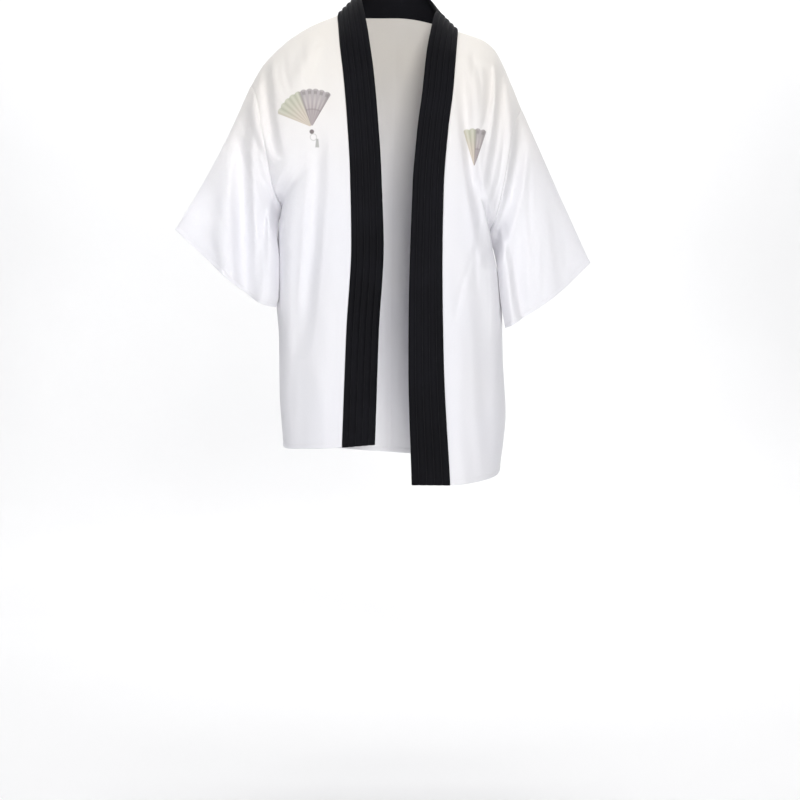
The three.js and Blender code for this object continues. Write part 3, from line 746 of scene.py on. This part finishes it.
def wall_mesh(cloth, looks):
    """A closed mesh from a cloth's grid: its outer and inner faces, the edges between them, and
    the stitches along its stitched lines. looks has a material for each of the outer face, the
    inner face and the stitches."""
    outer = cloth.points + cloth.normals * cloth.outer[..., None]
    inner = cloth.points - cloth.normals * cloth.inner[..., None]
    rows, count = outer.shape[:2]
    vertices = np.concatenate([outer.reshape(-1, 3), inner.reshape(-1, 3)]) * MM
    index = np.arange(rows * count).reshape(rows, count)
    uv = np.stack([lengths_along(cloth.points, 1), lengths_along(cloth.points, 0)], -1) * MM
    if cloth.closed:
        last_step = np.linalg.norm(cloth.points[0, 0] - cloth.points[0, -1]) * MM
        index = np.concatenate([index, index[:, :1]], axis=1)
        uv = np.concatenate([uv, uv[:, :1] + [uv[0, -1, 0] + last_step, 0]], axis=1)
    uv_flat = uv.reshape(-1, 2)
    place = np.arange(uv_flat.shape[0]).reshape(uv.shape[:2])

    def quads(grid):
        corners = (grid[:-1, :-1], grid[:-1, 1:], grid[1:, 1:], grid[1:, :-1])
        return np.stack([c.ravel() for c in corners], -1)

    shift = rows * count
    faces = [quads(index), quads(index)[:, ::-1] + shift]
    places = [quads(place), quads(place)[:, ::-1]]

    def rim(line, spot, flip):
        a, b = line[:-1], line[1:]
        pa, pb = spot[:-1], spot[1:]
        face = np.stack([a, a + shift, b + shift, b], -1)
        where = np.stack([pa, pa, pb, pb], -1)
        faces.append(face[:, ::-1] if flip else face)
        places.append(where[:, ::-1] if flip else where)

    rim(index[0], place[0], False)
    rim(index[-1], place[-1], True)
    if not cloth.closed:
        rim(index[:, 0], place[:, 0], True)
        rim(index[:, -1], place[:, -1], False)
    faces, places = np.concatenate(faces), np.concatenate(places)
    corners = vertices[faces]
    crossed = np.cross(corners[:, 2] - corners[:, 0], corners[:, 3] - corners[:, 1])
    if (corners.mean(1) * crossed).sum() < 0:
        faces, places = faces[:, ::-1], places[:, ::-1]
    cloth_faces = len(faces)
    for path, up in cloth.stitched:
        shells, around = stitches(path, up)
        faces = np.concatenate([faces, around + len(vertices)])
        places = np.concatenate([places, around + len(uv_flat)])
        vertices = np.concatenate([vertices, shells * MM])
        uv_flat = np.concatenate([uv_flat, shells[:, [0, 2]] * MM])

    mesh = bpy.data.meshes.new(cloth.name)
    mesh.vertices.add(len(vertices))
    mesh.vertices.foreach_set("co", vertices.astype(np.float32).ravel())
    mesh.loops.add(faces.size)
    mesh.loops.foreach_set("vertex_index", faces.astype(np.int32).ravel())
    mesh.polygons.add(len(faces))
    mesh.polygons.foreach_set("loop_start", np.arange(0, faces.size, 4, dtype=np.int32))
    mesh.polygons.foreach_set("loop_total", np.full(len(faces), 4, dtype=np.int32))
    mesh.update(calc_edges=True)
    layer = mesh.uv_layers.new(name="cloth")
    layer.data.foreach_set("uv", uv_flat[places.ravel()].astype(np.float32).ravel())
    mesh.validate()
    for look in looks:
        mesh.materials.append(look)
    first_inner = (rows - 1) * (index.shape[1] - 1)
    slots = np.zeros(len(faces), dtype=np.int32)
    slots[first_inner:2 * first_inner] = 1
    slots[cloth_faces:] = 2
    mesh.polygons.foreach_set("material_index", slots)
    mesh.shade_smooth()
    return put_in_scene(cloth.name + "_cloth", mesh)


class Nodes:
    """Short ways to build a material's nodes."""

    def __init__(self, name):
        self.material = bpy.data.materials.new(name)
        self.material.use_nodes = True
        self.tree = self.material.node_tree
        self.tree.nodes.clear()
        output = self.tree.nodes.new("ShaderNodeOutputMaterial")
        self.shader = self.tree.nodes.new("ShaderNodeBsdfPrincipled")
        self.put(output.inputs["Surface"], self.shader.outputs["BSDF"])

    def put(self, socket, value):
        """Links a socket to another one, or gives it a plain value."""
        if isinstance(value, bpy.types.NodeSocket):
            self.tree.links.new(value, socket)
        elif value is not None:
            socket.default_value = value

    def add(self, kind, inputs=None, **settings):
        node = self.tree.nodes.new(kind)
        for key, value in settings.items():
            setattr(node, key, value)
        for key, value in (inputs or {}).items():
            self.put(node.inputs[key], value)
        return node

    def place(self):
        """The place on the object, in metres."""
        return self.add("ShaderNodeTexCoord").outputs["Object"]

    def parts(self, vector):
        """A vector's x, y and z."""
        return self.add("ShaderNodeSeparateXYZ", {0: vector}).outputs

    def math(self, operation, a, b=None, c=None):
        node = self.add("ShaderNodeMath", operation=operation)
        for socket, value in zip(node.inputs, (a, b, c)):
            self.put(socket, value)
        return node.outputs[0]

    def span(self, value, low, high, to_low=0.0, to_high=1.0):
        """value from low..high to to_low..to_high, eased."""
        inputs = {0: value, 1: low, 2: high, 3: to_low, 4: to_high}
        node = self.add("ShaderNodeMapRange", inputs, interpolation_type="SMOOTHSTEP")
        return node.outputs[0]

    def blend(self, share, a, b):
        node = self.add("ShaderNodeMix", data_type="RGBA")
        self.put(node.inputs[0], share)
        self.put(node.inputs[6], a)
        self.put(node.inputs[7], b)
        return node.outputs[2]

    def noise(self, where, scale, detail=2.0):
        inputs = {"Vector": where, "Scale": scale, "Detail": detail}
        return self.add("ShaderNodeTexNoise", inputs).outputs[0]

    def finish(self, inputs, relief, strength, distance):
        """Gives the shader its inputs and a bump, and returns the material."""
        bump = {"Strength": strength, "Distance": distance, "Height": relief}
        inputs["Normal"] = self.add("ShaderNodeBump", bump).outputs[0]
        for key, value in inputs.items():
            self.put(self.shader.inputs[key], value)
        return self.material


def weave(nodes, uv, pitch):
    """The height of a plain weave: yarns that pass over and under each other."""
    m = nodes.math
    parts = nodes.parts(uv)
    warp, weft = (m("SINE", m("MULTIPLY", parts[k], math.pi / pitch)) for k in (0, 1))
    share = m("MULTIPLY_ADD", m("MULTIPLY", warp, weft), 0.5, 0.5)
    over = m("MULTIPLY", m("ABSOLUTE", warp), share)
    under = m("MULTIPLY", m("ABSOLUTE", weft), m("SUBTRACT", 1.0, share))
    return m("ADD", over, under)


# A folding fan printed on each side of the chest: its pivot, its left edge, where its warm part
# ends, and its right edge in degrees from straight up, how many slats show, and whether a bead,
# a cord loop and a tassel hang from it (1) or not (0).
FANS = columns("pivotX pivotZ left middle right slats tassel", [
    (-160, -203, -68, -19, 31, 10, 1),
    (146, -277, -17, 3, 19, 4, 0),
])
FAN_RADIUS = 72 * MM
FAN_HUB = 5 * MM
FAN_INNER = 34 * MM
SCALLOP = 2.5 * MM
BEAD_DROP = 8.5 * MM
BEAD_RADIUS = 4.2 * MM
LOOP_RADIUS = 6 * MM
TASSEL_LENGTH = 16 * MM
# Radians that the tassel's strands and a sewing thread's plies turn in a metre.
STRAND_TURN = 3200.0
PLY_TURN = 9000.0

WARM_NEAR, WARM_FAR = (0.57, 0.50, 0.42, 1), (0.50, 0.505, 0.40, 1)
COOL_NEAR, COOL_FAR = (0.38, 0.33, 0.335, 1), (0.48, 0.44, 0.45, 1)
FAN_DARK, FAN_PALE = (0.20, 0.18, 0.18, 1), (0.74, 0.71, 0.66, 1)
BEAD_COLOUR, CORD_COLOUR = (0.10, 0.07, 0.07, 1), (0.42, 0.42, 0.40, 1)
TASSEL_DARK, TASSEL_PALE = (0.20, 0.20, 0.19, 1), (0.42, 0.42, 0.40, 1)


class Print:
    """A print's plane, measured in metres from a pivot, and shapes drawn on it."""

    def __init__(self, nodes, x, z, base):
        self.nodes, self.x, self.z, self.base = nodes, x, z, base

    def away(self, cx=0.0, cz=0.0):
        """Distance from a place."""
        m = self.nodes.math
        dx, dz = m("SUBTRACT", self.x, cx), m("SUBTRACT", self.z, cz)
        return m("SQRT", m("ADD", m("MULTIPLY", dx, dx), m("MULTIPLY", dz, dz)))

    def within(self, value, low, high, soft):
        """1 where value lies between low and high, with soft edges."""
        above = self.nodes.span(value, low - soft, low + soft)
        below = self.nodes.span(value, high - soft, high + soft, 1.0, 0.0)
        return self.nodes.math("MULTIPLY", above, below)

    def ink(self, share, colour, strength):
        """Lays a colour over what is drawn so far."""
        strong = self.nodes.math("MULTIPLY", share, strength)
        self.base = self.nodes.blend(strong, self.base, colour)


def fan_print(nodes, base):
    """Draws the fans over a base colour."""
    parts = nodes.parts(nodes.place())
    for fan in rows_of(FANS):
        x = nodes.math("SUBTRACT", parts[0], fan["pivotX"] * MM)
        z = nodes.math("SUBTRACT", parts[2], fan["pivotZ"] * MM)
        leaf = draw_leaf(nodes, x, z, fan)
        shape = Print(nodes, x, z, base)
        shape.ink(leaf_shape(shape, fan), leaf, 0.97)
        if fan["tassel"]:
            draw_tassel(shape)
        base = shape.base
    return base


def slat_bow(nodes, turn, fan):
    """0 on the folds between a fan's slats, and 1 in the middle of each slat."""
    m = nodes.math
    left, right = math.radians(fan["left"]), math.radians(fan["right"])
    step = math.pi * fan["slats"] / (right - left)
    return m("ABSOLUTE", m("SINE", m("MULTIPLY_ADD", turn, step, -left * step)))


def leaf_shape(shape, fan):
    """1 inside the fan's outline, whose rim is scalloped."""
    m = shape.nodes.math
    turn = m("ARCTAN2", shape.x, shape.z)
    rim = m("MULTIPLY_ADD", slat_bow(shape.nodes, turn, fan), SCALLOP, FAN_RADIUS - SCALLOP)
    past = m("SUBTRACT", shape.away(), rim)
    inside = shape.nodes.span(past, -0.9 * MM, 0.9 * MM, 1.0, 0.0)
    beyond_hub = shape.nodes.span(shape.away(), 0.4 * FAN_HUB, 0.8 * FAN_HUB)
    spread = shape.within(turn, math.radians(fan["left"]), math.radians(fan["right"]), 0.012)
    return m("MULTIPLY", m("MULTIPLY", inside, beyond_hub), spread)


def draw_leaf(nodes, x, z, fan):
    """The fan's colours: a warm part, and a cool one with dark marks along its rim."""
    m = nodes.math
    turn = m("ARCTAN2", x, z)
    left, middle, right = (math.radians(fan[name]) for name in ("left", "middle", "right"))
    leaf = Print(nodes, x, z, None)
    radius = leaf.away()
    bow = slat_bow(nodes, turn, fan)
    warm = nodes.span(turn, middle - 0.03, middle + 0.03, 1.0, 0.0)
    cool = m("SUBTRACT", 1.0, warm)
    outward = nodes.span(radius, 0.3 * FAN_RADIUS, 0.95 * FAN_RADIUS)
    leaf.base = nodes.blend(warm, nodes.blend(outward, COOL_NEAR, COOL_FAR),
                            nodes.blend(outward, WARM_NEAR, WARM_FAR))
    leaf.ink(nodes.span(bow, 0.0, 0.4, 1.0, 0.0), FAN_DARK, 0.22)
    leaf.ink(nodes.span(bow, 0.6, 1.0), FAN_PALE, 0.3)
    # Marks under the rim of the cool part, each drawn out into a streak towards the pivot.
    drawn_out = nodes.span(radius, 0.6 * FAN_RADIUS, 0.93 * FAN_RADIUS)
    streak = m("MULTIPLY", drawn_out, nodes.span(bow, 0.2, 0.7))
    leaf.ink(m("MULTIPLY", streak, cool), FAN_DARK, 0.34)
    by_rim = leaf.within(radius, 0.86 * FAN_RADIUS, 0.95 * FAN_RADIUS, 1.5 * MM)
    mark = m("MULTIPLY", by_rim, nodes.span(bow, 0.5, 0.85))
    leaf.ink(m("MULTIPLY", mark, cool), FAN_DARK, 0.5)
    # The darker zone by the pivot, its edge, the rib between the parts, and the guards.
    near = nodes.span(radius, FAN_INNER - 1.5 * MM, FAN_INNER + 1.5 * MM, 1.0, 0.0)
    leaf.ink(m("MULTIPLY", near, cool), COOL_NEAR, 0.5)
    inner_edge = leaf.within(radius, FAN_INNER - 2 * MM, FAN_INNER + MM, MM)
    leaf.ink(m("MULTIPLY", inner_edge, cool), FAN_DARK, 0.35)
    leaf.ink(leaf.within(turn, middle - 0.05, middle + 0.04, 0.03), FAN_DARK, 0.42)
    leaf.ink(leaf.within(turn, right - 0.09, right + 0.05, 0.03), FAN_DARK, 0.45)
    leaf.ink(leaf.within(turn, left - 0.05, left + 0.05, 0.03), WARM_NEAR, 0.5)
    return leaf.base


def draw_tassel(shape):
    """The bead under the pivot, the cord's loop below it, and the tassel."""
    nodes, m = shape.nodes, shape.nodes.math
    bead = m("SUBTRACT", shape.away(0.0, -BEAD_DROP), BEAD_RADIUS)
    shape.ink(nodes.span(bead, -0.8 * MM, 0.8 * MM, 1.0, 0.0), BEAD_COLOUR, 0.85)
    loop_drop = BEAD_DROP + BEAD_RADIUS + LOOP_RADIUS
    ring = m("ABSOLUTE", m("SUBTRACT", shape.away(3 * MM, -loop_drop), LOOP_RADIUS))
    shape.ink(nodes.span(ring, 0.4 * MM, 1.3 * MM, 1.0, 0.0), CORD_COLOUR, 0.5)
    drop = m("SUBTRACT", -loop_drop - 3 * MM, shape.z)
    side = m("ABSOLUTE", m("SUBTRACT", shape.x, 10 * MM))
    half = m("MULTIPLY_ADD", drop, 0.09, 2.2 * MM)
    body = nodes.span(m("SUBTRACT", side, half), -0.6 * MM, 0.6 * MM, 1.0, 0.0)
    strand = m("ABSOLUTE", m("SINE", m("MULTIPLY", shape.x, STRAND_TURN)))
    shape.ink(m("MULTIPLY", shape.within(drop, 0.0, TASSEL_LENGTH, MM), body),
              nodes.blend(strand, TASSEL_DARK, TASSEL_PALE), 0.75)


# Painted light and shade: a warm, shaded white for the tops of the shoulders and a cool white for
# lower down.
PAINTED_WARM_SHADE_WHITE, PAINTED_COOL_LIGHT_WHITE = (0.81, 0.77, 0.71, 1), (0.80, 0.797, 0.835, 1)
PATCH_WHITE, SLUB_GREY = (0.84, 0.83, 0.83, 1), (0.66, 0.65, 0.68, 1)
DEEP_BLACK, WORN_BLACK = (0.003, 0.003, 0.0045, 1), (0.007, 0.007, 0.0095, 1)
LINT_GREY = (0.03, 0.03, 0.034, 1)
WHITE_YARN, BLACK_YARN = 0.7 * MM, 0.6 * MM


def white_cloth(name, printed=None):
    """Matt white cloth with painted warm light and shade on the shoulders, turning to a painted
    cool tint lower down, with slubs in its yarn and a fine crepe.
    """
    nodes = Nodes(name)
    uv = nodes.add("ShaderNodeUVMap", uv_map="cloth").outputs[0]
    place = nodes.place()
    height = nodes.parts(place)[2]
    patches = nodes.noise(place, 5.0, 3.0)
    along_yarn = nodes.add("ShaderNodeMapping", {"Vector": uv, "Scale": (260, 900, 1)})
    slub = nodes.noise(along_yarn.outputs[0], 1.0)
    # Painted light and shade: warm and shaded at the shoulders, blending to the cool tint by
    # armpit height.
    base = nodes.blend(nodes.span(height, -0.02, -0.38), PAINTED_WARM_SHADE_WHITE, PAINTED_COOL_LIGHT_WHITE)
    base = nodes.blend(nodes.span(patches, 0.3, 0.7, 0.0, 0.3), base, PATCH_WHITE)
    base = nodes.blend(nodes.span(slub, 0.35, 0.75, 0.0, 0.12), base, SLUB_GREY)
    if printed:
        base = printed(nodes, base)
    crepe = nodes.math("MULTIPLY", nodes.noise(place, 900.0), 0.5)
    relief = nodes.math("MULTIPLY_ADD", weave(nodes, uv, WHITE_YARN), 0.6, crepe)
    return nodes.finish({
        "Base Color": base,
        "Roughness": nodes.span(slub, 0.2, 0.8, 0.7, 0.86),
        "Sheen Weight": 0.18,
        "Sheen Roughness": 0.45,
        "Specular IOR Level": 0.3,
    }, relief, 0.35, 0.3 * MM)


def black_cloth(name):
    """Matt black cloth, a little paler where it is worn, with specks of lint."""
    nodes = Nodes(name)
    uv = nodes.add("ShaderNodeUVMap", uv_map="cloth").outputs[0]
    place = nodes.place()
    worn = nodes.noise(place, 9.0, 4.0)
    lint = nodes.noise(place, 420.0, 1.0)
    base = nodes.blend(nodes.span(worn, 0.3, 0.75), DEEP_BLACK, WORN_BLACK)
    base = nodes.blend(nodes.span(lint, 0.62, 0.8, 0.0, 0.15), base, LINT_GREY)
    nap = nodes.math("MULTIPLY", lint, 0.4)
    relief = nodes.math("MULTIPLY_ADD", weave(nodes, uv, BLACK_YARN), 0.6, nap)
    return nodes.finish({
        "Base Color": base,
        "Roughness": nodes.span(worn, 0.2, 0.8, 0.62, 0.8),
        "Sheen Weight": 0.015,
        "Sheen Roughness": 0.4,
        "Specular IOR Level": 0.1,
    }, relief, 0.4, 0.3 * MM)


def sewing_thread(name, dark, pale, sheen):
    """Twisted thread, with its plies as fine slanting lines and painted shade in the grooves
    between them.
    """
    nodes = Nodes(name)
    x, y, z = nodes.parts(nodes.place())
    slant = nodes.math("ADD", x, nodes.math("ADD", y, z))
    turn = nodes.math("MULTIPLY", slant, PLY_TURN)
    ply = nodes.math("ABSOLUTE", nodes.math("SINE", turn))
    # ply is 0 in the grooves between the plies, where the colour is darker: painted shade.
    return nodes.finish({
        "Base Color": nodes.blend(ply, dark, pale),
        "Roughness": nodes.span(ply, 0.0, 1.0, 0.7, 0.5),
        "Sheen Weight": sheen,
    }, ply, 0.5, 0.1 * MM)


WHITE = white_cloth("white_cloth")
WHITE_INSIDE = white_cloth("white_cloth_inside")
PRINTED = white_cloth("white_cloth_printed", fan_print)
BLACK = black_cloth("black_cloth")
WHITE_THREAD = sewing_thread("white_thread", (0.66, 0.65, 0.67, 1), (0.80, 0.79, 0.80, 1), 0.1)
BLACK_THREAD = sewing_thread("black_thread",
                             (0.004, 0.004, 0.005, 1), (0.012, 0.012, 0.014, 1), 0.02)


# The edges of a grid that are sewn to another piece, on a panel and on a sleeve, and the hem.
SEWN, SEWN_SLEEVE, HEM = ("top", "start", "end"), ("top",), ("bottom",)
collar = Cloth("collar", collar_grid(), 1, ("start",), wall=COLLAR_WALL)
across_channel = (COLLAR_SHARES * COLLAR_CHANNELS) % 1
collar.outer += CHANNEL_RISE * (np.sin(math.pi * across_channel) ** CHANNEL_BOW)[None]
cloths = [
    Cloth("front_right", front_grid("right"), 1, SEWN, HEM),
    Cloth("front_left", front_grid("left"), -1, SEWN, HEM),
    Cloth("back", back_grid(), 1, SEWN, HEM),
    Cloth("sleeve_right", sleeve_grid("right"), -1, SEWN_SLEEVE, HEM, True),
    Cloth("sleeve_left", sleeve_grid("left"), 1, SEWN_SLEEVE, HEM, True),
    collar,
]
join_seams(cloths)
for cloth in cloths:
    if cloth.from_hem is not None:
        hem_row = np.argmin(np.abs(cloth.from_hem.mean(1) - HEM_SEWN))
        cloth.stitch(hem_row)
for channel in range(1, COLLAR_CHANNELS):
    collar.stitch(np.s_[:, channel * CHANNEL_STEPS])

for cloth in cloths:
    name = cloth.name
    looks = (PRINTED if name.startswith("front") else WHITE, WHITE_INSIDE, WHITE_THREAD)
    if name == "collar":
        looks = (BLACK, BLACK, BLACK_THREAD)
    piece = wall_mesh(cloth, looks)
    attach(piece, "root")
    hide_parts(name)

# The stage, in metres: a floor, and the curve and the wall behind it.
FLOOR_Z = -1.46
FLOOR_HALF = 5.0
FLOOR_FRONT = -4.5
BEND_Y = 2.6
WALL_Y = 3.6
WALL_HEIGHT = 5.0
BEND_STEPS = 12


def stage_material(name, colour):
    """A pale plain surface, a little uneven in tone."""
    nodes = Nodes(name)
    tone = nodes.noise(nodes.place(), 1.5, 2.0)
    darker = tuple(0.985 * c for c in colour) + (1,)
    nodes.put(nodes.shader.inputs["Base Color"],
              nodes.blend(nodes.span(tone, 0.3, 0.7), colour + (1,), darker))
    nodes.put(nodes.shader.inputs["Roughness"], 0.9)
    return nodes.material


def backdrop():
    """A pale floor that curves up into a wall."""
    profile = [(FLOOR_FRONT, 0.0)]
    radius = WALL_Y - BEND_Y
    for k in range(BEND_STEPS + 1):
        turn = k / BEND_STEPS * math.pi / 2
        profile.append((BEND_Y + radius * math.sin(turn), radius * (1 - math.cos(turn))))
    profile.append((WALL_Y, WALL_HEIGHT))
    vertices = [(x, y, FLOOR_Z + z) for y, z in profile for x in (-FLOOR_HALF, FLOOR_HALF)]
    faces = [(2 * k, 2 * k + 1, 2 * k + 3, 2 * k + 2) for k in range(len(profile) - 1)]
    mesh = bpy.data.meshes.new("floor")
    mesh.from_pydata(vertices, [], faces)
    mesh.materials.append(stage_material("pale_floor", (0.92, 0.92, 0.92)))
    mesh.shade_smooth()
    floor = put_in_scene("floor", mesh)


def area_light(name, place, target, size, power, colour=(1, 1, 1), spread=180):
    """A rectangle of light that faces a target, in metres, watts and degrees."""
    data = bpy.data.lights.new(name, "AREA")
    data.shape, data.size, data.size_y = "RECTANGLE", size[0], size[1]
    data.energy, data.color, data.spread = power, colour, math.radians(spread)
    light = put_in_scene(name, data)
    light.location = place
    light.rotation_euler = (Vector(target) - Vector(place)).to_track_quat("-Z", "Y").to_euler()


backdrop()
area_light("key", (0.45, -3.35, 0.8), (0, 0, -0.4), (0.8, 0.8), 74, (1.0, 0.995, 0.985))
area_light("fill", (-2.3, -2.8, 0.1), (-0.2, 0, -0.3), (1.4, 1.4), 15, (0.94, 0.96, 1.0))
area_light("right_sleeve", (-1.6, -3.0, 0.1), (-0.45, 0, -0.3), (0.3, 0.3), 0.1, spread=12)
area_light("left_sleeve", (2.0, -3.0, 0.1), (0.44, 0, -0.36), (0.3, 0.3), 0.05, spread=12)
area_light("above", (0, 0.2, 2.4), (0, 0, -0.4), (1.6, 1.6), 6, (1.0, 0.96, 0.9))
area_light("behind", (1.9, 2.5, 0.8), (0, 0, -0.4), (0.6, 0.6), 9)
area_light("wall", (0, 1.7, 2.3), (0, 3.4, -0.6), (4.0, 0.8), 70)
area_light("ground", (0, 0.6, 2.6), (0, 0.9, -1.46), (4.5, 2.0), 30)

world = bpy.data.worlds.new("studio")
bpy.context.scene.world = world
world.use_nodes = True
background = world.node_tree.nodes["Background"].inputs
background["Color"].default_value = (0.96, 0.965, 1.0, 1)
background["Strength"].default_value = 0.32
bpy.context.scene.view_settings.view_transform = "Standard"

# The camera, level with the middle of the jacket, looking a little down.
CAMERA_PLACE = (0.0059, -3.2, -0.38)
CAMERA_DOWN = 6.261
camera_data = bpy.data.cameras.new("camera")
camera_data.sensor_width = 36.0
camera_data.lens = 73.1
camera = put_in_scene("camera", camera_data)
camera.location = CAMERA_PLACE
camera.rotation_euler = (math.radians(90 - CAMERA_DOWN), 0, 0)
bpy.context.scene.camera = camera
